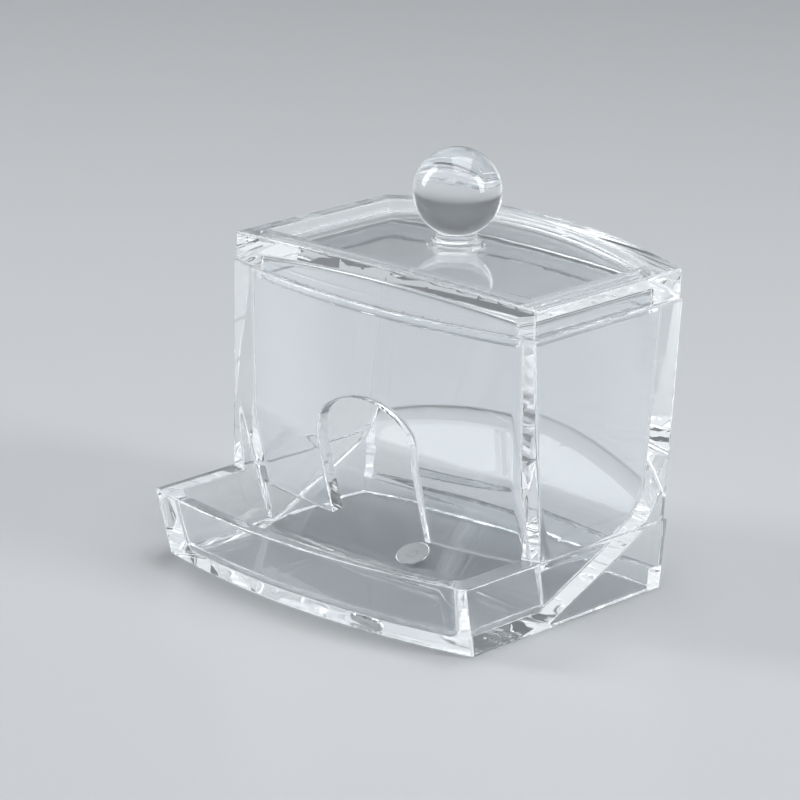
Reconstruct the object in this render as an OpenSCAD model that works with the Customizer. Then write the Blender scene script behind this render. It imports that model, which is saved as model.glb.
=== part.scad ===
// Clear cotton swab holder: a bow-fronted hopper welded to a tray base, with a lift-off lid and a ball knob.
// Lengths are in millimetres and angles in degrees. +Z is up and the tray faces -Y.
// Heights are measured from the table, and depths from the middle of the hopper's top edge.

/* [Hopper] */
// Outer width at the top edge
hopper_w = 90.8; // [80:0.4:110]
// Outer depth at the top corners
hopper_d = 50; // [46:0.5:58]
// Height of the top edge above the table
hopper_top = 66.6; // [60:0.2:90]
// How far the front and back faces bow out at mid-width
bow = 6; // [4:0.5:8]
// Thickness of the side walls at the top edge
side_t = 5.4; // [3.6:0.2:6]
// Thickness of the front wall
front_t = 3.4; // [2.4:0.1:4.2]
// Thickness of the back wall at the top edge
back_t = 4.4; // [2.6:0.1:5]
// Angle by which the side faces spread, going down
side_flare = 1.8; // [0.5:0.1:3]
// Angle by which the front face leans back, going down
front_lean = 2; // [0:0.1:3]
// Angle by which the back face leans forwards, going down
back_lean = 5.6; // [3:0.1:6]
// Angle by which the back wall's inner face leans forwards, going down
back_core_lean = 6.5; // [5.6:0.1:7.5]
// Draft of the side walls' inner faces
core_draft = 0.5; // [0.2:0.1:1.5]

/* [Chute] */
// Height at which the front wall turns back into the chute
chute_top = 31.5; // [27:0.5:36]
// Lean of the front wall below that turn
chute_lean = 16; // [10:0.5:20]
// Height of the front wall's lower edge, the top of the slot
slot_top = 13.2; // [11:0.2:15]
// Angle of the ramp that the swabs roll down
ramp_angle = 24.6; // [20:0.2:28]
// Distance of the ramp's foot in front of the hopper's middle
ramp_foot = 18; // [16:0.1:20]
// Distance of the ramp's upper bend behind the hopper's middle
knee_back = 12.8; // [11:0.2:14]
// Angle of the bend between the ramp and the back wall
knee_angle = 49; // [44:1:58]
// Thickness of the ramp
ramp_t = 3.2; // [2.4:0.1:4]
// Gap between the front wall's lower edge and the base's cheeks
cheek_gap = 0.3; // [0.2:0.05:0.6]

/* [Finger notch] */
// Width of the notch
notch_w = 28; // [22:1:36]
// Height of the notch's crown above the table
notch_top = 44.5; // [40:0.5:52]
// Rise of the notch's rounded head
notch_rise = 9; // [7:0.5:12]
// Corner radius of the notch's rounded head
notch_corner_r = 6; // [3:0.5:6.5]

/* [Tray base] */
// Height of the tray's rim, where the hopper is welded on
rim_z = 16.6; // [15.6:0.2:22]
// How far the rim stands proud of the hopper
rim_step = 0.6; // [0.3:0.1:1.2]
// How far the tray reaches out in front of the hopper
tray_d = 22.7; // [18:0.1:34]
// Angle by which the tray's front flares out, going up
tray_flare = 14.8; // [8:0.2:18]
// Thickness of the tray's front wall
tray_front_t = 3.7; // [2.4:0.1:4.5]
// Width of the tray's side rims
tray_rim_w = 5.4; // [3:0.2:6]
// Draft of the tray's inner side faces
tray_draft = 7; // [3:0.5:9]
// Angle by which the base's sides spread, going up
base_flare = 3.8; // [1:0.2:6]
// Angle by which the base's back spreads, going up
base_back_flare = 2.9; // [1:0.1:4]
// Thickness of the tray's floor
floor_t = 3; // [2:0.1:3.6]
// Height of the sill that joins the sides at the back
sill_h = 4.5; // [3:0.5:8]
// Thickness of that sill
sill_t = 3; // [2:0.25:4]

/* [Gate mark] */
// Diameter of the round gate recess under the ramp
gate_d = 7.5; // [5:0.5:9]
// Depth of the gate recess
gate_depth = 0.8; // [0.4:0.1:1.2]
// Distance of the gate recess in front of the hopper's middle
gate_front = 12.8; // [8:0.4:13.2]
// Diameter of the gate stub left in the recess
stub_d = 2.4; // [1.6:0.2:4]
// Height of that stub
stub_h = 0.6; // [0.3:0.1:0.8]

/* [Lid] */
// How far the lid's edge is set in from the hopper's top edge
lid_inset = 0.4; // [0.1:0.1:0.8]
// Height of the lid at its corners
lid_h = 6.7; // [5.6:0.1:9]
// Rise of the lid's top at mid-width
lid_crown = 2.8; // [1.6:0.1:4]
// Width of the frame around the lid's sunken panel
frame_w = 5.8; // [4.6:0.2:8]
// Depth of the sunken panel at mid-width
panel_depth = 1.6; // [1:0.1:2]
// Rise of the sunken panel at mid-width
panel_crown = 3.2; // [2:0.1:4]
// Thickness of the sunken panel
panel_t = 2.6; // [1.8:0.1:3]
// Depth of the lip that locates the lid in the hopper
lip_h = 3; // [2:0.25:5]
// Thickness of that lip
lip_t = 2; // [1.4:0.1:2.6]
// Gap between the lip and the hopper's walls
lip_gap = 0.5; // [0.3:0.05:0.8]

/* [Knob] */
// Diameter of the ball
ball_d = 20.2; // [16:0.2:26]
// Height of the ball's lowest point above its seat
ball_lift = 1.5; // [1.2:0.1:3]
// Diameter of the neck under the ball
neck_d = 9.2; // [7:0.2:10]
// Diameter of the flange that sits on the lid
flange_d = 11.2; // [10.4:0.2:14]
// Thickness of the flange
flange_h = 0.9; // [0.6:0.1:1.1]
// Diameter of the round seat on the lid
seat_d = 12.8; // [12:0.2:16]
// Height of the seat above the panel
seat_h = 0.6; // [0.4:0.1:1.2]
// Diameter of the peg that is cemented into the lid
peg_d = 4.8; // [3:0.2:6]
// Radial gap for the cement around the peg
peg_gap = 0.1; // [0.05:0.05:0.2]

/* [Hidden] */
far = 300;
fine = 360;
clear_plastic = [0.86, 0.90, 0.93, 0.4];

// Radius of a circular arc from its half chord and its rise
function arc_radius(half, rise) = (half * half + rise * rise) / (2 * rise);
// Unit step in the side view at an angle above the horizontal
function along(angle) = [cos(angle), sin(angle)];

// Front faces, as the depth of their middle
hopper_front = -(hopper_d / 2 + bow);
bow_r = arc_radius(hopper_w / 2, bow);
chute_front = hopper_front + (hopper_top - chute_top) * tan(front_lean);
tray_front = hopper_front - tray_d;

// The base's outline at the rim follows the hopper's outline there
wall_drop = hopper_top - rim_z;
inner_half = hopper_w / 2 - side_t;
cheek_half = inner_half - wall_drop * tan(core_draft);
rim_half = hopper_w / 2 + wall_drop * tan(side_flare) + rim_step;
tray_half = rim_half - tray_rim_w;
tray_r = arc_radius(rim_half, bow);
base_back = -hopper_front - wall_drop * tan(back_lean) + rim_step;

// Side view of the ramp: its foot and bend on the upper face, and the bend on the lower face
foot = [-ramp_foot, floor_t];
knee = foot + (ramp_foot + knee_back) / cos(ramp_angle) * along(ramp_angle);
bend = (ramp_angle + knee_angle) / 2;
under_knee = knee - ramp_t / cos(knee_angle - bend) * along(bend + 90);
under_toe = under_knee - (under_knee[1] + floor_t) / sin(ramp_angle) * along(ramp_angle);

// Finger notch: the crown's arc touches both corner arcs
notch_depth = front_t - hopper_front;
spring_z = notch_top - notch_rise;
corner_x = notch_w / 2 - notch_corner_r;
corner_rise = notch_rise - notch_corner_r;
notch_crown_r = notch_corner_r + arc_radius(corner_x, corner_rise);
crown_z = notch_top - notch_crown_r;

// Heights of the lid and the knob
lid_top = hopper_top + lid_h + lid_crown;
lid_front = hopper_front + lid_inset;
lid_half = hopper_w / 2 - lid_inset;
crown_r = arc_radius(lid_half, lid_crown);
panel_top = lid_top - panel_depth;
panel_r = arc_radius(lid_half - frame_w, panel_crown);
seat_z = panel_top + seat_h;
ball_z = seat_z + ball_lift + ball_d / 2;

// The origin lies on the table under the middle of the whole outline
middle_y = (tray_front - hopper_front) / 2;

// All space between two heights
module slab(z0, z1) {
  translate([-far, -far, z0]) cube([2 * far, 2 * far, z1 - z0]);
}

// All space behind a bowed face whose middle passes through depth y at height z and leans back, going down
module behind_face(y, z, r, lean, inset = 0) {
  translate([0, y, z]) rotate([lean, 0, 0]) translate([0, r, 0])
    cylinder(r = r - inset, h = 2 * far, center = true, $fn = fine);
}

// All space before the like face at the back
module before_back(y, z, r, lean, inset = 0) {
  mirror([0, 1, 0]) behind_face(-y, z, r, lean, inset);
}

// All space between two side faces that are half apart from the middle at height z and spread, going down
module between_sides(half, z, spread) {
  intersection_for(side = [0, 1])
    mirror([side, 0, 0]) translate([half, 0, z]) rotate([0, -spread, 0])
      translate([-2 * far, -far, -far]) cube(2 * far);
}

// A side-view outline of depths and heights, as wide as stated
module side_profile(points, width) {
  rotate([90, 0, 90]) linear_extrude(height = width, center = true) polygon(points);
}

// All space behind the front wall's face in the chute
module chute_face(inset = 0) {
  behind_face(chute_front, chute_top, bow_r, chute_lean, inset);
}

// Open space above the tray's floor, the ramp and its bend
module above_ramp() {
  crest = knee + far * along(knee_angle);
  side_profile([[-far, floor_t], foot, knee, crest, [-far, crest[1]]], 2 * far);
}

// Open space under the ramp, out to the back and down to the table
module under_ramp() {
  crest = under_knee + far * along(knee_angle);
  side_profile([under_toe, under_knee, crest, [crest[0], under_toe[1]]], 2 * tray_half);
}

// Where the swabs lie in the tray, up to the front wall
module tray_space() {
  difference() {
    intersection() {
      behind_face(tray_front, rim_z, tray_r, tray_flare, tray_front_t);
      between_sides(tray_half, rim_z, -tray_draft);
      above_ramp();
      slab(floor_t, hopper_top);
    }
    chute_face();
  }
}

// Where the swabs pile up in the hopper
module hopper_space() {
  intersection() {
    behind_face(hopper_front, hopper_top, bow_r, front_lean, front_t);
    chute_face(front_t);
    before_back(-hopper_front, hopper_top, bow_r, back_core_lean, back_t);
    between_sides(inner_half, hopper_top, -core_draft);
    above_ramp();
    slab(floor_t, hopper_top + lid_h);
  }
}

// Way between the base's cheeks from the hopper into the tray, begun in front of the front wall
module throat() {
  intersection() {
    chute_face(-front_t);
    translate([-cheek_half, -far, floor_t]) cube([2 * cheek_half, 2 * far, rim_z]);
    above_ramp();
  }
}

// The finger notch is a three-centred arch: a wide crown between two corner arcs, on a straight shaft
module notch_rod(x, z, r) {
  translate([x, 0, z]) rotate([90, 0, 0]) cylinder(r = r, h = notch_depth, $fn = fine);
}

module notch_crown() {
  // The corner arcs meet the crown on lines from its centre through theirs
  touch = 2 * [corner_x, spring_z - crown_z];
  intersection() {
    notch_rod(0, crown_z, notch_crown_r);
    translate([0, 0, crown_z]) rotate([90, 0, 0]) linear_extrude(height = notch_depth)
      polygon([[0, 0], 2 * touch, 2 * [-touch[0], touch[1]]]);
  }
}

module notch_shaft() {
  translate([-notch_w / 2, -notch_depth, 0]) cube([notch_w, notch_depth, spring_z]);
}

module notch_corners() {
  for (side = [-1, 1])
    notch_rod(side * corner_x, spring_z, notch_corner_r);
}

// Block for the front wall's lower end, which hangs between the cheeks below the rim
module tongue_block() {
  half = cheek_half - cheek_gap;
  depth = bow + 3 * front_t;
  height = (chute_top + rim_z) / 2 - slot_top;
  intersection() {
    chute_face();
    translate([-half, chute_front + depth - far, slot_top]) cube([2 * half, far, height]);
  }
}

// Round recess in the ramp's underside, with the stub where the plastic was let in
module gate_recess() {
  toe = under_knee - (knee_back + gate_front + under_knee[0] - knee[0]) / cos(ramp_angle) * along(ramp_angle);
  translate([0, toe[0], toe[1]]) rotate([ramp_angle, 0, 0])
    difference() {
      cylinder(d = gate_d, h = 2 * gate_depth, center = true, $fn = fine);
      translate([0, 0, gate_depth - stub_h]) cylinder(d = stub_d, h = gate_depth, $fn = fine);
    }
}

module base_outside() {
  intersection() {
    behind_face(tray_front, rim_z, tray_r, tray_flare);
    before_back(base_back, rim_z, bow_r, base_back_flare);
    between_sides(rim_half, rim_z, -base_flare);
    slab(0, rim_z);
  }
}

module back_sill() {
  difference() {
    intersection() {
      base_outside();
      slab(0, sill_h);
      translate([-far, 0, 0]) cube([2 * far, far, far]);
    }
    before_back(base_back, rim_z, bow_r, base_back_flare, sill_t);
  }
}

module tray_base() {
  color(clear_plastic) {
    difference() {
      base_outside();
      tray_space();
      throat();
      under_ramp();
      gate_recess();
    }
    back_sill();
  }
}

module hopper_outside() {
  intersection() {
    behind_face(hopper_front, hopper_top, bow_r, front_lean);
    before_back(-hopper_front, hopper_top, bow_r, back_lean);
    between_sides(hopper_w / 2, hopper_top, side_flare);
    slab(rim_z, hopper_top);
  }
}

module hopper_walls() {
  difference() {
    union() {
      hopper_outside();
      tongue_block();
    }
    hopper_space();
    tray_space();
    under_ramp();
  }
}

module hopper() {
  color(clear_plastic)
    difference() {
      difference() {
        difference() {
          hopper_walls();
          notch_crown();
        }
        notch_shaft();
      }
      notch_corners();
    }
}

// The lid's plan, drawn in from its edge
module lid_plan(inset = 0) {
  intersection() {
    behind_face(lid_front, 0, bow_r - lid_inset, 0, inset);
    before_back(-lid_front, 0, bow_r - lid_inset, 0, inset);
    between_sides(lid_half - inset, 0, 0);
  }
}

// The lip's plan, which follows the hopper's inner walls
module lip_plan(inset = 0) {
  intersection() {
    behind_face(hopper_front, hopper_top, bow_r, front_lean, front_t + lip_gap + inset);
    before_back(-hopper_front, hopper_top, bow_r, back_core_lean, back_t + lip_gap + inset);
    between_sides(inner_half - lip_gap - inset, hopper_top, -core_draft);
  }
}

// All space under a crowned face that runs from front to back
module under_crown(top, r, inset = 0) {
  translate([0, 0, top - r]) rotate([90, 0, 0])
    cylinder(r = r - inset, h = 2 * far, center = true, $fn = 2 * fine);
}

module lid() {
  color(clear_plastic)
    difference() {
      union() {
        difference() {
          intersection() {
            lid_plan();
            under_crown(lid_top, crown_r);
            slab(hopper_top, lid_top);
          }
          // The sunken panel
          difference() {
            intersection() {
              lid_plan(frame_w);
              slab(hopper_top, 2 * lid_top);
            }
            under_crown(panel_top, panel_r);
          }
        }
        intersection() {
          lip_plan();
          slab(hopper_top - lip_h, hopper_top);
        }
        translate([0, 0, panel_top - panel_t]) cylinder(d = seat_d, h = panel_t + seat_h, $fn = fine);
      }
      // The hollow underside
      intersection() {
        lip_plan(lip_t);
        slab(hopper_top - 2 * lip_h, lid_top);
        under_crown(panel_top, panel_r, panel_t);
      }
      cylinder(d = peg_d + 2 * peg_gap, h = lid_top, $fn = fine);
    }
}

module knob() {
  color(clear_plastic) {
    translate([0, 0, ball_z]) sphere(d = ball_d, $fn = fine / 2);
    translate([0, 0, seat_z]) cylinder(d = neck_d, h = ball_z - seat_z, $fn = fine);
    translate([0, 0, seat_z]) cylinder(d = flange_d, h = flange_h, $fn = fine);
    translate([0, 0, panel_top - panel_t]) cylinder(d = peg_d, h = ball_z - panel_top, $fn = fine);
  }
}

translate([0, -middle_y, 0]) {
  tray_base();
  hopper();
  lid();
  knob();
}
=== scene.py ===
"""Looks of the clear swab holder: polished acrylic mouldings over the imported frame, on a pale floor.

Each moulding is described as a distance field, in millimetres from the floor under the hopper's middle, so
that every edge gets the small polished radius and every inner corner the fillet that a mould gives it.
"""
import math

import bpy
import numpy as np
from mathutils import Matrix, Vector


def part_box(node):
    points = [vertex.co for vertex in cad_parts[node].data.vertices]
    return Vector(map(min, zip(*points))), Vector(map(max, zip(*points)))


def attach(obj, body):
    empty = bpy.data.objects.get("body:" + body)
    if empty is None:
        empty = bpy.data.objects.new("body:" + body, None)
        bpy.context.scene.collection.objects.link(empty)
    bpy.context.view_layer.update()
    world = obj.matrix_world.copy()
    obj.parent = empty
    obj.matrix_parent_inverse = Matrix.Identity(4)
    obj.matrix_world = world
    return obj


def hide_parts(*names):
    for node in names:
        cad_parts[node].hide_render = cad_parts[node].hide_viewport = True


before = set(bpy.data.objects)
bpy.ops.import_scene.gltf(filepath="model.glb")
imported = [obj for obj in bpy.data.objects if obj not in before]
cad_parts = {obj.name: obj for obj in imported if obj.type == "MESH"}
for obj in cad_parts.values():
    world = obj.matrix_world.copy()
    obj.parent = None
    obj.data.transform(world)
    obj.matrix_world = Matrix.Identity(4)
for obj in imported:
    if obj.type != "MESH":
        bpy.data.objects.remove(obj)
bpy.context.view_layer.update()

MM = 0.001

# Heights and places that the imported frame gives, in millimetres.
lid_low, lid_high = (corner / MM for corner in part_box("lid"))
knob_low, knob_high = (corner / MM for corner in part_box("knob"))
hopper_low, hopper_high = (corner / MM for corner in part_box("hopper"))
base_low, base_high = (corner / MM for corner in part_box("tray_base"))
MIDDLE_Y = (lid_low.y + lid_high.y) / 2
HOPPER_TOP = hopper_high.z
RIM_Z = base_high.z
SLOT_TOP = hopper_low.z
TRAY_FRONT = base_low.y - MIDDLE_Y
BALL_R = (knob_high.x - knob_low.x) / 2
BALL_Z = knob_high.z - BALL_R

# The hopper's walls, in millimetres and degrees.
HOPPER_W = 90.8
HOPPER_D = 50.0
BOW = 6.0
SIDE_T = 5.4
FRONT_T = 3.4
BACK_T = 4.4
SIDE_FLARE = 1.8
FRONT_LEAN = 2.0
BACK_LEAN = 5.6
BACK_CORE_LEAN = 6.5
CORE_DRAFT = 0.5
CHUTE_TOP = 31.5
CHUTE_LEAN = 16.0
CORNER_FILLET = 1.6

# The ramp.
RAMP_ANGLE = 24.6
RAMP_FOOT = -18.0
KNEE_Y = 12.8
KNEE_ANGLE = 49.0
RAMP_T = 3.2
BEND_R = 8.0
FOOT_FILLET = 1.2

# The finger notch.
NOTCH_W = 28.0
NOTCH_TOP = 44.5
NOTCH_RISE = 9.0
NOTCH_CORNER_R = 6.0

# The tray base.
RIM_STEP = 0.6
TRAY_FLARE = 14.8
TRAY_FRONT_T = 3.7
TRAY_RIM_W = 5.4
TRAY_DRAFT = 7.0
BASE_FLARE = 3.8
BASE_BACK_FLARE = 2.9
FLOOR_T = 3.0
SILL_H = 4.5
SILL_T = 3.0
TRAY_FILLET = 3.0

# The gate recess under the ramp.
GATE_R = 3.75
GATE_DEPTH = 0.8
GATE_Y = -12.8
STUB_R = 1.2
STUB_H = 0.6
FROST_REACH = 0.05

# The lid.
LID_INSET = 0.4
LID_H = 6.7
LID_CROWN = 2.8
FRAME_W = 5.8
FRAME_DRAFT = 14.0
PANEL_DEPTH = 1.6
PANEL_CROWN = 3.2
PANEL_T = 2.6
LIP_H = 3.0
LIP_T = 2.0
LIP_GAP = 0.5
SEAT_R = 6.4
SEAT_H = 0.6

# The knob's foot.
NECK_R = 4.6
NECK_FILLET = 0.3
FLANGE_R = 5.6
FLANGE_H = 0.9
FLANGE_EDGE_R = 0.4
CEMENT_GAP = 0.03

# How finely the knob is turned: points in its arcs, and points round it.
FLANGE_STEPS = 7
FILLET_STEPS = 6
BALL_STEPS = 72
KNOB_TURNS = 144

# The ball's arc, in degrees: how far past the neck's join it starts, and the angle where it ends.
BALL_START = 2.0
BALL_END = 89.0

# Polished edges and the weld seam's edge.
EDGE_R = 0.4
SEAM_R = 0.2

# Air that keeps the lid's face off the hopper's edge, and the base off the floor.
LID_AIR = 0.05
FLOOR_AIR = 0.1

# Spacing of the sampling grid, and how meshes are made from it.
GRID = 0.45
NUDGE = 0.01
SHADE_NUDGE = 0.2
LANDING_STEPS = 3
CENTRE_PULL = 0.02
EDGE_TURN = math.cos(math.radians(10))
KEPT_FLAT = 0.2


def arc_radius(half, rise):
    """Radius of a circular arc from its half chord and its rise."""
    return (half * half + rise * rise) / (2 * rise)


def slope(degrees):
    return math.tan(math.radians(degrees))


def bend(angle, radius):
    """Rounding that gives a shallow bend of that angle this radius."""
    return radius * (1 - math.cos(math.radians(angle)))


# Faces that are worked out from the sizes above.
HOPPER_FRONT = -(HOPPER_D / 2 + BOW)
BOW_R = arc_radius(HOPPER_W / 2, BOW)
CHUTE_FRONT = HOPPER_FRONT + (HOPPER_TOP - CHUTE_TOP) * slope(FRONT_LEAN)
WALL_DROP = HOPPER_TOP - RIM_Z
INNER_HALF = HOPPER_W / 2 - SIDE_T
RIM_HALF = HOPPER_W / 2 + WALL_DROP * slope(SIDE_FLARE) + RIM_STEP
TRAY_HALF = RIM_HALF - TRAY_RIM_W
TRAY_R = arc_radius(RIM_HALF, BOW)
BASE_BACK = -HOPPER_FRONT - WALL_DROP * slope(BACK_LEAN) + RIM_STEP
KNEE_Z = FLOOR_T + (KNEE_Y - RAMP_FOOT) * slope(RAMP_ANGLE)
LID_TOP = HOPPER_TOP + LID_H + LID_CROWN
LID_FRONT = HOPPER_FRONT + LID_INSET
LID_HALF = HOPPER_W / 2 - LID_INSET
CROWN_R = arc_radius(LID_HALF, LID_CROWN)
PANEL_TOP = LID_TOP - PANEL_DEPTH
PANEL_R = arc_radius(LID_HALF - FRAME_W, PANEL_CROWN)
SEAT_Z = PANEL_TOP + SEAT_H


# Fields are negative inside. They take a point's X, Y and Z.

def meet(a, b, radius=EDGE_R):
    """What both fields hold, with the edge between them rounded off."""
    over = np.hypot(np.maximum(a + radius, 0), np.maximum(b + radius, 0))
    return np.minimum(np.maximum(a, b), -radius) + over


def join(a, b, radius=EDGE_R):
    """What either field holds, with the corner between them filled."""
    return -meet(-a, -b, radius)


def cut(a, b, radius=EDGE_R):
    """What the first field holds and the second doesn't, with the edge rounded off."""
    return meet(a, -b, radius)


def bowed_face(point, depth, height, radius, lean, inset=0.0):
    """Behind a bowed front face, whose middle is at that depth and height, that leans back going down."""
    x, y, z = point
    angle = math.radians(lean)
    across = (y - depth) * math.cos(angle) + (z - height) * math.sin(angle)
    return np.hypot(x, across - radius) - (radius - inset)


def bowed_back(point, depth, height, radius, lean, inset=0.0):
    """Before the like face at the back."""
    x, y, z = point
    return bowed_face((x, -y, z), -depth, height, radius, lean, inset)


def side_faces(point, half, height, spread):
    """Between two side faces that are half from the middle at that height, and spread going down."""
    x, _, z = point
    angle = math.radians(spread)
    return (np.abs(x) - half) * math.cos(angle) + (z - height) * math.sin(angle)


def above_line(point, y0, z0, angle):
    """Above a plane that rises to the back at that angle."""
    _, y, z = point
    tilt = math.radians(angle)
    return (y - y0) * math.sin(tilt) - (z - z0) * math.cos(tilt)


def above_ramp(point):
    floor = FLOOR_T - point[2]
    ramp = above_line(point, RAMP_FOOT, FLOOR_T, RAMP_ANGLE)
    knee = above_line(point, KNEE_Y, KNEE_Z, KNEE_ANGLE)
    return meet(meet(floor, ramp, bend(RAMP_ANGLE, BEND_R)), knee, bend(KNEE_ANGLE - RAMP_ANGLE, BEND_R))


def under_ramp(point):
    """The open space below the ramp, between the side walls, which stops at the back sill."""
    x, _, z = point
    ramp = -above_line(point, RAMP_FOOT, FLOOR_T, RAMP_ANGLE) + RAMP_T
    knee = -above_line(point, KNEE_Y, KNEE_Z, KNEE_ANGLE) + RAMP_T
    below = join(ramp, knee, bend(KNEE_ANGLE - RAMP_ANGLE, BEND_R + RAMP_T))
    sill = meet(z - SILL_H, -bowed_back(point, BASE_BACK, RIM_Z, BOW_R, BASE_BACK_FLARE, SILL_T))
    return cut(meet(below, np.abs(x) - TRAY_HALF), sill)


def gate_recess(point):
    """Round recess in the ramp's underside, with the stub that the gate left."""
    x, y, z = point
    tilt = math.radians(RAMP_ANGLE)
    gate_z = FLOOR_T + (GATE_Y - RAMP_FOOT) * slope(RAMP_ANGLE)
    along = (y - GATE_Y) * math.cos(tilt) + (z - gate_z) * math.sin(tilt)
    from_axis = np.hypot(x, along)
    depth = -above_line(point, RAMP_FOOT, FLOOR_T, RAMP_ANGLE) + RAMP_T - GATE_DEPTH
    stub = meet(from_axis - STUB_R, -(depth + STUB_H), SEAM_R)
    return cut(meet(from_axis - GATE_R, depth, SEAM_R), stub, SEAM_R)


def notch(point):
    """Three-centred arch through the front wall: a wide crown and two corner arcs on a straight shaft."""
    x, y, z = point
    side = np.abs(x)
    spring_z = NOTCH_TOP - NOTCH_RISE
    corner_x = NOTCH_W / 2 - NOTCH_CORNER_R
    crown_r = NOTCH_CORNER_R + arc_radius(corner_x, NOTCH_RISE - NOTCH_CORNER_R)
    crown_z = NOTCH_TOP - crown_r
    shaft = side - NOTCH_W / 2
    corner = np.hypot(side - corner_x, z - spring_z) - NOTCH_CORNER_R
    crown = np.hypot(x, z - crown_z) - crown_r
    under_crown = side * (spring_z - crown_z) < corner_x * (z - crown_z)
    arch = np.where(under_crown, crown, np.where(z < spring_z, shaft, corner))
    before_wall = HOPPER_FRONT - FRONT_T - y
    behind_wall = y - HOPPER_FRONT / 3
    return np.maximum(np.maximum(arch, SLOT_TOP - FRONT_T - z), np.maximum(before_wall, behind_wall))


def holder_field(point):
    """Tray base and hopper, which the weld makes one clear solid."""
    _, _, z = point
    base = meet(bowed_face(point, TRAY_FRONT, RIM_Z, TRAY_R, TRAY_FLARE),
                bowed_back(point, BASE_BACK, RIM_Z, BOW_R, BASE_BACK_FLARE))
    base = meet(base, side_faces(point, RIM_HALF, RIM_Z, -BASE_FLARE))
    base = meet(meet(base, z - RIM_Z), -z)
    walls = meet(bowed_face(point, HOPPER_FRONT, HOPPER_TOP, BOW_R, FRONT_LEAN),
                 bowed_back(point, -HOPPER_FRONT, HOPPER_TOP, BOW_R, BACK_LEAN))
    walls = meet(walls, side_faces(point, HOPPER_W / 2, HOPPER_TOP, SIDE_FLARE))
    walls = meet(walls, z - HOPPER_TOP)
    walls = np.maximum(walls, RIM_Z - FLOOR_T - z)
    outside = join(base, walls, SEAM_R)

    ramp = above_ramp(point)
    inner_sides = side_faces(point, INNER_HALF, HOPPER_TOP, -CORE_DRAFT)
    swabs = meet(bowed_face(point, HOPPER_FRONT, HOPPER_TOP, BOW_R, FRONT_LEAN, FRONT_T),
                 bowed_face(point, CHUTE_FRONT, CHUTE_TOP, BOW_R, CHUTE_LEAN, FRONT_T),
                 bend(CHUTE_LEAN - FRONT_LEAN, BEND_R))
    back = bowed_back(point, -HOPPER_FRONT, HOPPER_TOP, BOW_R, BACK_CORE_LEAN, BACK_T)
    swabs = meet(swabs, meet(back, ramp, bend(90 - BACK_CORE_LEAN - KNEE_ANGLE, BEND_R)))
    swabs = meet(swabs, inner_sides, CORNER_FILLET)

    slot = meet(bowed_face(point, CHUTE_FRONT, CHUTE_TOP, BOW_R, CHUTE_LEAN, -FRONT_T), z - SLOT_TOP)
    slot = meet(meet(slot, inner_sides), ramp, FOOT_FILLET)

    tray = meet(bowed_face(point, TRAY_FRONT, RIM_Z, TRAY_R, TRAY_FLARE, TRAY_FRONT_T),
                side_faces(point, TRAY_HALF, RIM_Z, -TRAY_DRAFT), TRAY_FILLET)
    tray = meet(tray, ramp, TRAY_FILLET)
    tray = cut(tray, bowed_face(point, CHUTE_FRONT, CHUTE_TOP, BOW_R, CHUTE_LEAN), FOOT_FILLET)

    open_space = join(join(swabs, slot), join(tray, notch(point)))
    below = join(under_ramp(point), gate_recess(point), SEAM_R)
    return cut(cut(outside, open_space), below)


def lid_plan(point, inset=0.0, height=0.0, draft=0.0):
    """Between the lid's bowed faces and its side faces, drawn in from its edge."""
    radius = BOW_R - LID_INSET
    faces = meet(bowed_face(point, LID_FRONT, height, radius, draft, inset),
                 bowed_back(point, -LID_FRONT, height, radius, draft, inset))
    return meet(faces, side_faces(point, LID_HALF - inset, height, -draft))


def lip_plan(point, inset=0.0, fillet=EDGE_R):
    """Inside the hopper's mouth, with the lip's running gap."""
    front = bowed_face(point, HOPPER_FRONT, HOPPER_TOP, BOW_R, FRONT_LEAN, FRONT_T + LIP_GAP + inset)
    back = bowed_back(point, -HOPPER_FRONT, HOPPER_TOP, BOW_R, BACK_CORE_LEAN, BACK_T + LIP_GAP + inset)
    sides = side_faces(point, INNER_HALF - LIP_GAP - inset, HOPPER_TOP, -CORE_DRAFT)
    return meet(meet(front, back), sides, fillet)


def under_crown(point, top, radius, inset=0.0):
    x, _, z = point
    return np.hypot(x, z - (top - radius)) - (radius - inset)


def lid_field(point):
    x, y, z = point
    panel = under_crown(point, PANEL_TOP, PANEL_R)
    block = meet(meet(lid_plan(point), under_crown(point, LID_TOP, CROWN_R)), HOPPER_TOP + LID_AIR - z)
    sunken = meet(lid_plan(point, FRAME_W, PANEL_TOP, FRAME_DRAFT), -panel, FOOT_FILLET)
    block = cut(block, sunken)
    lip = meet(meet(lip_plan(point, 0.0, CORNER_FILLET), HOPPER_TOP - LIP_H - z), z - HOPPER_TOP - LIP_H)
    block = join(block, lip, SEAM_R)
    seat = meet(np.hypot(x, y) - SEAT_R, np.maximum(z - SEAT_Z, PANEL_TOP - PANEL_T / 2 - z), SEAM_R)
    block = join(block, seat, SEAM_R)
    ceiling = under_crown(point, PANEL_TOP, PANEL_R, PANEL_T)
    hollow = meet(lip_plan(point, LIP_T, CORNER_FILLET), ceiling, FOOT_FILLET)
    return cut(block, hollow)


def gradient(field, points, nudge=NUDGE):
    """Direction in which the field grows at each point."""
    slopes = []
    for axis in range(3):
        step = np.zeros(3)
        step[axis] = nudge
        slopes.append(field((points + step).T) - field((points - step).T))
    return np.stack(slopes, axis=1) / (2 * nudge)


def land(field, points):
    """Moves points onto the field's surface."""
    for _ in range(LANDING_STEPS):
        grow = gradient(field, points)
        steep = np.maximum((grow * grow).sum(axis=1), 0.25)
        points = points - (field(points.T) / steep)[:, None] * grow
    return points


def sample(field, low, high):
    """Field values on a grid round the box, and the grid's first corner."""
    first = np.asarray(low) - 2 * GRID
    counts = np.ceil((np.asarray(high) - first) / GRID).astype(int) + 3
    axes = [first[i] + GRID * np.arange(counts[i]) for i in range(3)]
    return field(np.meshgrid(*axes, indexing="ij", sparse=True)), first


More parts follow.
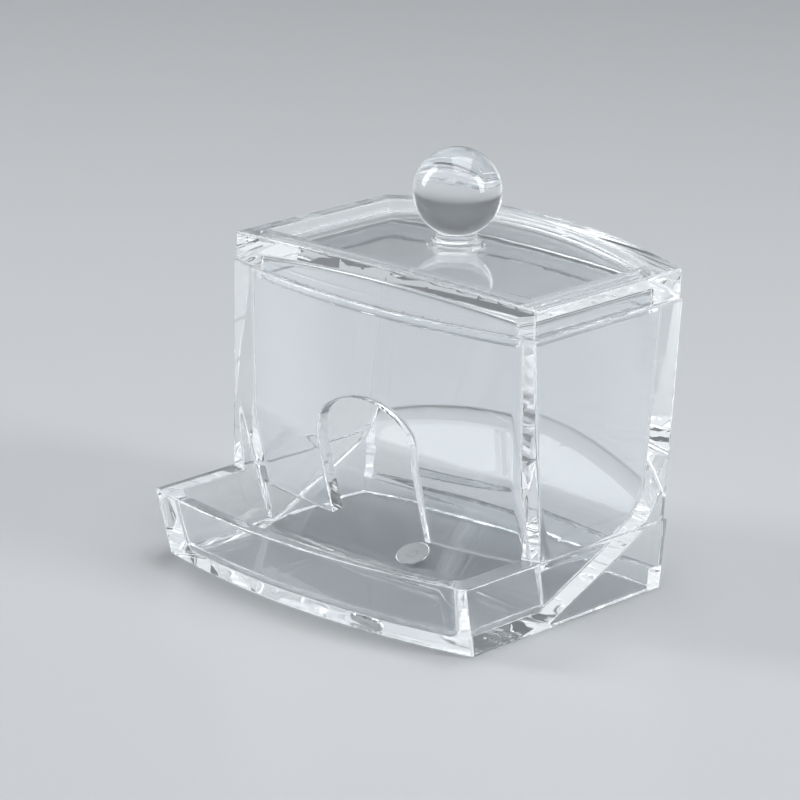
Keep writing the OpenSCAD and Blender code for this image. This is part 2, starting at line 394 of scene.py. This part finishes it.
def unit(vectors):
    return vectors / np.linalg.norm(vectors, axis=1)[:, None]


def on_edges(field, crossings, faces, corners):
    """A point for each cell, where the planes at its crossings meet, so that edges stay straight."""
    normals = unit(gradient(field, crossings))

    def per_cell(amounts):
        """Sum of what the crossings give to the four cells round each."""
        return sum(np.bincount(faces[:, i], amounts, len(corners)) for i in range(4))

    shares = per_cell(np.ones(len(crossings)))
    middle = np.stack([per_cell(crossings[:, i]) for i in range(3)], axis=1) / shares[:, None]
    offsets = (normals * crossings).sum(axis=1)
    square = np.empty((len(corners), 3, 3))
    right = np.empty((len(corners), 3, 1))
    for i in range(3):
        right[:, i, 0] = per_cell(normals[:, i] * offsets)
        for j in range(3):
            square[:, i, j] = per_cell(normals[:, i] * normals[:, j])
    right -= square @ middle[:, :, None]
    steps = np.linalg.solve(square + CENTRE_PULL * np.eye(3), right)[:, :, 0]
    return np.clip(middle + steps, corners, corners + GRID)


def surface_net(field, low, high):
    """Points and four-sided faces of the field's surface: a point in each cell that it passes through."""
    values, first = sample(field, low, high)
    inside = values < 0
    cells = tuple(n - 1 for n in values.shape)
    held = np.zeros(cells, np.int8)
    for corner in np.ndindex(2, 2, 2):
        held += inside[tuple(slice(c, c + n) for c, n in zip(corner, cells))]
    mixed = (held > 0) & (held < 8)
    number = np.full(cells, -1)
    number[mixed] = np.arange(mixed.sum())

    crossings, faces = [], []
    for axis in range(3):
        u, v = (axis + 1) % 3, (axis + 2) % 3
        count = values.shape[axis] - 1
        lower = values.take(range(count), axis)
        upper = values.take(range(1, count + 1), axis)
        edge = np.argwhere((lower < 0) != (upper < 0))
        start, end = lower[tuple(edge.T)], upper[tuple(edge.T)]
        place = edge.astype(float)
        place[:, axis] += start / (start - end)
        crossings.append(first + GRID * place)
        around = []
        for du, dv in ((0, 0), (1, 0), (1, 1), (0, 1)):
            cell = edge.copy()
            cell[:, u] -= du
            cell[:, v] -= dv
            around.append(number[tuple(cell.T)])
        ring = np.stack(around, axis=1)
        ring[start >= 0] = ring[start >= 0][:, ::-1]
        faces.append(ring)
    faces = np.concatenate(faces)
    points = on_edges(field, np.concatenate(crossings), faces, first + GRID * np.argwhere(mixed))
    return land(field, points), faces


def new_piece(name, mesh, body, slot, *nodes):
    piece = bpy.data.objects.new(name, mesh)
    bpy.context.scene.collection.objects.link(piece)
    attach(piece, body)
    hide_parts(*nodes)
    return piece


def moulding(name, field, low, high):
    """Closed mesh of a field, thinned where it is flat, with the field's own normals."""
    points, faces = surface_net(field, low, high)
    facing = unit(gradient(field, points))[faces]
    across = (facing[:, :2] * facing[:, 2:]).sum(axis=2).min(axis=1)
    # Points on edges and in fillets all stay.
    flat = np.ones(len(points), bool)
    flat[faces[across < EDGE_TURN].ravel()] = False

    dense = bpy.data.meshes.new(name + "_dense")
    dense.from_pydata(points.tolist(), [], faces.tolist())
    carrier = bpy.data.objects.new(name + "_dense", dense)
    bpy.context.scene.collection.objects.link(carrier)
    carrier.vertex_groups.new(name="flat").add(np.flatnonzero(flat).tolist(), 1.0, "REPLACE")
    thin = carrier.modifiers.new("thin", "DECIMATE")
    thin.vertex_group = "flat"
    thin.ratio = 1 - (1 - KEPT_FLAT) * flat.mean()
    depsgraph = bpy.context.evaluated_depsgraph_get()
    mesh = bpy.data.meshes.new_from_object(carrier.evaluated_get(depsgraph))
    bpy.data.objects.remove(carrier)
    bpy.data.meshes.remove(dense)
    mesh.name = name

    places = np.empty(len(mesh.vertices) * 3)
    mesh.vertices.foreach_get("co", places)
    places = land(field, places.reshape(-1, 3))
    normals = unit(gradient(field, places, SHADE_NUDGE))
    mesh.vertices.foreach_set("co", ((places + [0, MIDDLE_Y, 0]) * MM).ravel())
    mesh.shade_smooth()
    mesh.normals_split_custom_set_from_vertices(normals.tolist())
    mesh.update()
    return mesh


def frost_gate(mesh):
    """Gives the gate recess its own finish, where the tool isn't polished."""
    places = np.empty(len(mesh.vertices) * 3)
    mesh.vertices.foreach_get("co", places)
    places = places.reshape(-1, 3) / MM - [0, MIDDLE_Y, 0]
    rough = np.abs(gate_recess(places.T)) < FROST_REACH
    for face in mesh.polygons:
        face.material_index = int(rough[list(face.vertices)].all())


def arc(centre, radius, start, end, steps):
    """Points of a circular arc in the knob's half section, from one angle to another."""
    angles = np.radians(np.linspace(start, end, steps))
    return [(centre[0] + radius * math.cos(a), centre[1] + radius * math.sin(a)) for a in angles]


def knob_section():
    """Half section of the knob: flange, neck and ball, as distances from the axis and heights."""
    foot = SEAT_Z + CEMENT_GAP
    top = foot + FLANGE_H
    edge_x = FLANGE_R - FLANGE_EDGE_R
    section = [(0.0, foot)]
    section += arc((edge_x, foot + FLANGE_EDGE_R), FLANGE_EDGE_R, -90, 0, FLANGE_STEPS)
    section += arc((edge_x, top - FLANGE_EDGE_R), FLANGE_EDGE_R, 0, 90, FLANGE_STEPS)
    # The neck sweeps from the flange into the ball.
    join_angle = -math.degrees(math.acos(NECK_R / BALL_R))
    neck_top = BALL_Z + BALL_R * math.sin(math.radians(join_angle))
    section += arc((NECK_R + NECK_FILLET, top + NECK_FILLET), NECK_FILLET, 270, 180, FILLET_STEPS)
    section.append((NECK_R, neck_top - NECK_FILLET))
    section += arc((0.0, BALL_Z), BALL_R, join_angle + BALL_START, BALL_END, BALL_STEPS)
    section.append((0.0, BALL_Z + BALL_R))
    return section


def turned_mesh(name, section, turns=KNOB_TURNS):
    """Closed mesh of a half section that starts and ends on the axis, turned about the lid's middle."""
    rim = section[1:-1]
    angles = np.arange(turns) * 2 * math.pi / turns
    points = [(0.0, 0.0, section[0][1]), (0.0, 0.0, section[-1][1])]
    for radius, height in rim:
        points += [(radius * math.cos(a), radius * math.sin(a), height) for a in angles]
    places = [(x * MM, (y + MIDDLE_Y) * MM, z * MM) for x, y, z in points]
    faces = []
    last = 2 + turns * (len(rim) - 1)
    for i in range(turns):
        following = (i + 1) % turns
        faces.append((0, 2 + following, 2 + i))
        faces.append((1, last + i, last + following))
        for row in range(len(rim) - 1):
            ring = 2 + turns * row
            faces.append((ring + i, ring + following, ring + turns + following, ring + turns + i))
    mesh = bpy.data.meshes.new(name)
    mesh.from_pydata(places, [], faces)
    mesh.shade_smooth()
    mesh.update()
    return mesh


def linear(code, alpha=1.0):
    """sRGB hex colour as the linear colour that shaders take."""
    parts = [int(code[i:i + 2], 16) / 255 for i in (1, 3, 5)]
    return [p / 12.92 if p <= 0.04045 else ((p + 0.055) / 1.055) ** 2.4 for p in parts] + [alpha]


def add(tree, kind, settings=None, inputs=None):
    """Adds a node, sets its properties, and sets or links its inputs."""
    node = tree.nodes.new(kind)
    for key, value in (settings or {}).items():
        setattr(node, key, value)
    for key, value in (inputs or {}).items():
        if isinstance(value, bpy.types.NodeSocket):
            tree.links.new(value, node.inputs[key])
        else:
            node.inputs[key].default_value = value
    return node


def blank_material(name):
    material = bpy.data.materials.new(name)
    material.use_nodes = True
    material.node_tree.nodes.clear()
    return material, material.node_tree


def per_mm(size):
    """Pattern scale that repeats once in that many millimetres."""
    return 1 / (size * MM)


def moulded_clear_acrylic():
    """PMMA, moulded in a polished tool: water clear, faintly cool and glossy."""
    material, tree = blank_material("moulded_clear_acrylic")
    place = add(tree, "ShaderNodeTexCoord").outputs["Object"]
    haze = add(tree, "ShaderNodeTexNoise", inputs={"Vector": place, "Scale": per_mm(14.0), "Detail": 3.0})
    rubbed = add(tree, "ShaderNodeMapRange", inputs={
        "Value": haze.outputs["Fac"], "From Min": 0.35, "From Max": 0.75, "To Min": 0.0, "To Max": 0.035})
    # The melt's flow leaves a very shallow waviness that bends reflections.
    flow = add(tree, "ShaderNodeTexNoise", inputs={"Vector": place, "Scale": per_mm(18.0), "Detail": 1.0})
    wavy = add(tree, "ShaderNodeBump", inputs={
        "Strength": 0.06, "Distance": 1.0 * MM, "Height": flow.outputs["Fac"]})
    shader = add(tree, "ShaderNodeBsdfPrincipled", inputs={
        "Base Color": linear("#FBFDFE"), "Roughness": rubbed.outputs["Result"], "IOR": 1.49,
        "Transmission Weight": 1.0, "Normal": wavy.outputs["Normal"]})
    add(tree, "ShaderNodeOutputMaterial", inputs={"Surface": shader.outputs["BSDF"]})
    return material


def spark_eroded_acrylic():
    """PMMA against the gate insert's spark-eroded steel: the same plastic, but milky, with a fine grain."""
    material, tree = blank_material("spark_eroded_acrylic")
    place = add(tree, "ShaderNodeTexCoord").outputs["Object"]
    grain = add(tree, "ShaderNodeTexNoise", inputs={"Vector": place, "Scale": per_mm(0.4), "Detail": 2.0})
    rough = add(tree, "ShaderNodeMapRange", inputs={
        "Value": grain.outputs["Fac"], "From Min": 0.3, "From Max": 0.7, "To Min": 0.45, "To Max": 0.7})
    pitted = add(tree, "ShaderNodeBump", inputs={
        "Strength": 0.4, "Distance": 0.05 * MM, "Height": grain.outputs["Fac"]})
    shader = add(tree, "ShaderNodeBsdfPrincipled", inputs={
        "Base Color": linear("#F6F8F9"), "Roughness": rough.outputs["Result"], "IOR": 1.49,
        "Transmission Weight": 0.05, "Normal": pitted.outputs["Normal"]})
    add(tree, "ShaderNodeOutputMaterial", inputs={"Surface": shader.outputs["BSDF"]})
    return material


def painted_studio_floor():
    """Pale satin lacquer on board: even light grey with a soft reflection of what stands on it."""
    material, tree = blank_material("painted_studio_floor")
    shader = add(tree, "ShaderNodeBsdfPrincipled", inputs={
        "Base Color": linear("#C8CBCE"), "Roughness": 0.4, "IOR": 1.5})
    add(tree, "ShaderNodeOutputMaterial", inputs={"Surface": shader.outputs["BSDF"]})
    return material


# Camera: the angle, distance and lens that put the photograph's edges where they are.
CAMERA_AZIMUTH = 42.367
CAMERA_ELEVATION = 17.337
CAMERA_DISTANCE = 899.68
CAMERA_ROLL = 1.222
CAMERA_TARGET = Vector((-16.017, 0.0, 34.351))
CAMERA_LENS = 176.44


# The sweep of board, in metres.
SWEEP_HALF = 4.0
SWEEP_FRONT = -4.0
SWEEP_BACK = 2.2
SWEEP_RISE = 3.0
SWEEP_CURVE = 0.8
SWEEP_STEPS = 24

# Soft boxes: name, place, aim, width and height in metres, and watts.
SOFTBOXES = (
    ("top_box", (0.1, 0.1, 1.1), (0, 0, 0.04), 0.9, 0.7, 9),
    ("left_box", (-0.9, -0.5, 0.6), (0, 0, 0.05), 0.35, 0.9, 6),
    ("right_box", (1.0, 0.35, 0.55), (0, 0, 0.05), 0.3, 0.8, 5.5),
)

# How bright the room is as a light, and as it shows in clear plastic and gloss.
ROOM_LIGHT = 0.15
ROOM_SHOWN = 0.95

# Turns that light may take inside the walls, and the cap on rare stray paths.
LIGHT_TURNS = 128
STRAY_CAP = 2.0


def add_camera():
    azimuth, elevation, roll = (math.radians(a) for a in (CAMERA_AZIMUTH, CAMERA_ELEVATION, CAMERA_ROLL))
    back = Vector((math.sin(azimuth) * math.cos(elevation), -math.cos(azimuth) * math.cos(elevation),
                   math.sin(elevation)))
    level = Vector((math.cos(azimuth), math.sin(azimuth), 0.0))
    upright = back.cross(level)
    right = level * math.cos(roll) + upright * math.sin(roll)
    up = upright * math.cos(roll) - level * math.sin(roll)
    place = (CAMERA_TARGET + Vector((0, MIDDLE_Y, 0)) + back * CAMERA_DISTANCE) * MM
    data = bpy.data.cameras.new("camera")
    data.sensor_width = 36.0
    data.lens = CAMERA_LENS
    data.clip_start = 0.01
    camera = bpy.data.objects.new("camera", data)
    camera.matrix_world = Matrix.Translation(place) @ Matrix((right, up, back)).transposed().to_4x4()
    bpy.context.scene.collection.objects.link(camera)
    bpy.context.scene.camera = camera


def add_softbox(name, place, aim, width, height, watts):
    data = bpy.data.lights.new(name, "AREA")
    data.shape = "RECTANGLE"
    data.size = width
    data.size_y = height
    data.energy = watts
    lamp = bpy.data.objects.new(name, data)
    lamp.location = place
    lamp.rotation_euler = (Vector(aim) - Vector(place)).to_track_quat("-Z", "Y").to_euler()
    bpy.context.scene.collection.objects.link(lamp)


def add_studio():
    """A sweep of pale board, soft boxes and a dim room, so that edges show both bright and dark."""
    level = -FLOOR_AIR * MM
    outline = [(SWEEP_FRONT, level)]
    for step in range(SWEEP_STEPS + 1):
        angle = math.radians(90 * step / SWEEP_STEPS)
        outline.append((SWEEP_BACK - SWEEP_CURVE + SWEEP_CURVE * math.sin(angle),
                        level + SWEEP_CURVE - SWEEP_CURVE * math.cos(angle)))
    outline.append((SWEEP_BACK, SWEEP_RISE))
    points = [(x, y, z) for y, z in outline for x in (-SWEEP_HALF, SWEEP_HALF)]
    faces = [(2 * i, 2 * i + 1, 2 * i + 3, 2 * i + 2) for i in range(len(outline) - 1)]
    mesh = bpy.data.meshes.new("studio_sweep")
    mesh.from_pydata(points, [], faces)
    mesh.shade_smooth()
    sweep = bpy.data.objects.new("studio_sweep", mesh)
    sweep.rotation_euler.z = math.radians(CAMERA_AZIMUTH)
    mesh.materials.append(painted_studio_floor())
    bpy.context.scene.collection.objects.link(sweep)

    for softbox in SOFTBOXES:
        add_softbox(*softbox)

    world = bpy.data.worlds.new("studio_room")
    world.use_nodes = True
    tree = world.node_tree
    tree.nodes.clear()
    # The room is dim, but clear plastic and its gloss show it as white as its walls are.
    path = add(tree, "ShaderNodeLightPath")
    gloss = add(tree, "ShaderNodeMath", {"operation": "MAXIMUM"}, {
        0: path.outputs["Is Glossy Ray"], 1: path.outputs["Is Transmission Ray"]})
    shown = add(tree, "ShaderNodeMath", {"operation": "MAXIMUM"}, {
        0: gloss.outputs["Value"], 1: path.outputs["Is Camera Ray"]})
    strength = add(tree, "ShaderNodeMapRange", inputs={
        "Value": shown.outputs["Value"], "To Min": ROOM_LIGHT, "To Max": ROOM_SHOWN})
    room = add(tree, "ShaderNodeBackground", inputs={
        "Color": linear("#F4F7FA"), "Strength": strength.outputs["Result"]})
    add(tree, "ShaderNodeOutputWorld", inputs={"Surface": room.outputs["Background"]})
    bpy.context.scene.world = world


def main():
    acrylic = moulded_clear_acrylic()
    to_middle = Vector((0, MIDDLE_Y, 0))
    holder = moulding("holder", holder_field, base_low - to_middle,
                      Vector((base_high.x, hopper_high.y, hopper_high.z)) - to_middle)
    lid = moulding("lid_moulding", lid_field, lid_low - to_middle, lid_high - to_middle)
    knob = turned_mesh("ball_knob", knob_section())
    for mesh in (holder, lid, knob):
        mesh.materials.append(acrylic)
    holder.materials.append(spark_eroded_acrylic())
    frost_gate(holder)
    new_piece("holder", holder, "holder", "clear_plastic", "tray_base", "hopper")
    new_piece("lid_moulding", lid, "lid", "clear_plastic", "lid")
    new_piece("ball_knob", knob, "lid", "clear_plastic", "knob")
    add_camera()
    add_studio()
    scene = bpy.context.scene
    scene.view_settings.view_transform = "Standard"
    # Light turns many times inside the thick walls, and its rare stray paths would fleck the floor.
    scene.cycles.max_bounces = LIGHT_TURNS
    scene.cycles.transmission_bounces = LIGHT_TURNS
    scene.cycles.glossy_bounces = LIGHT_TURNS
    scene.cycles.sample_clamp_indirect = STRAY_CAP


main()
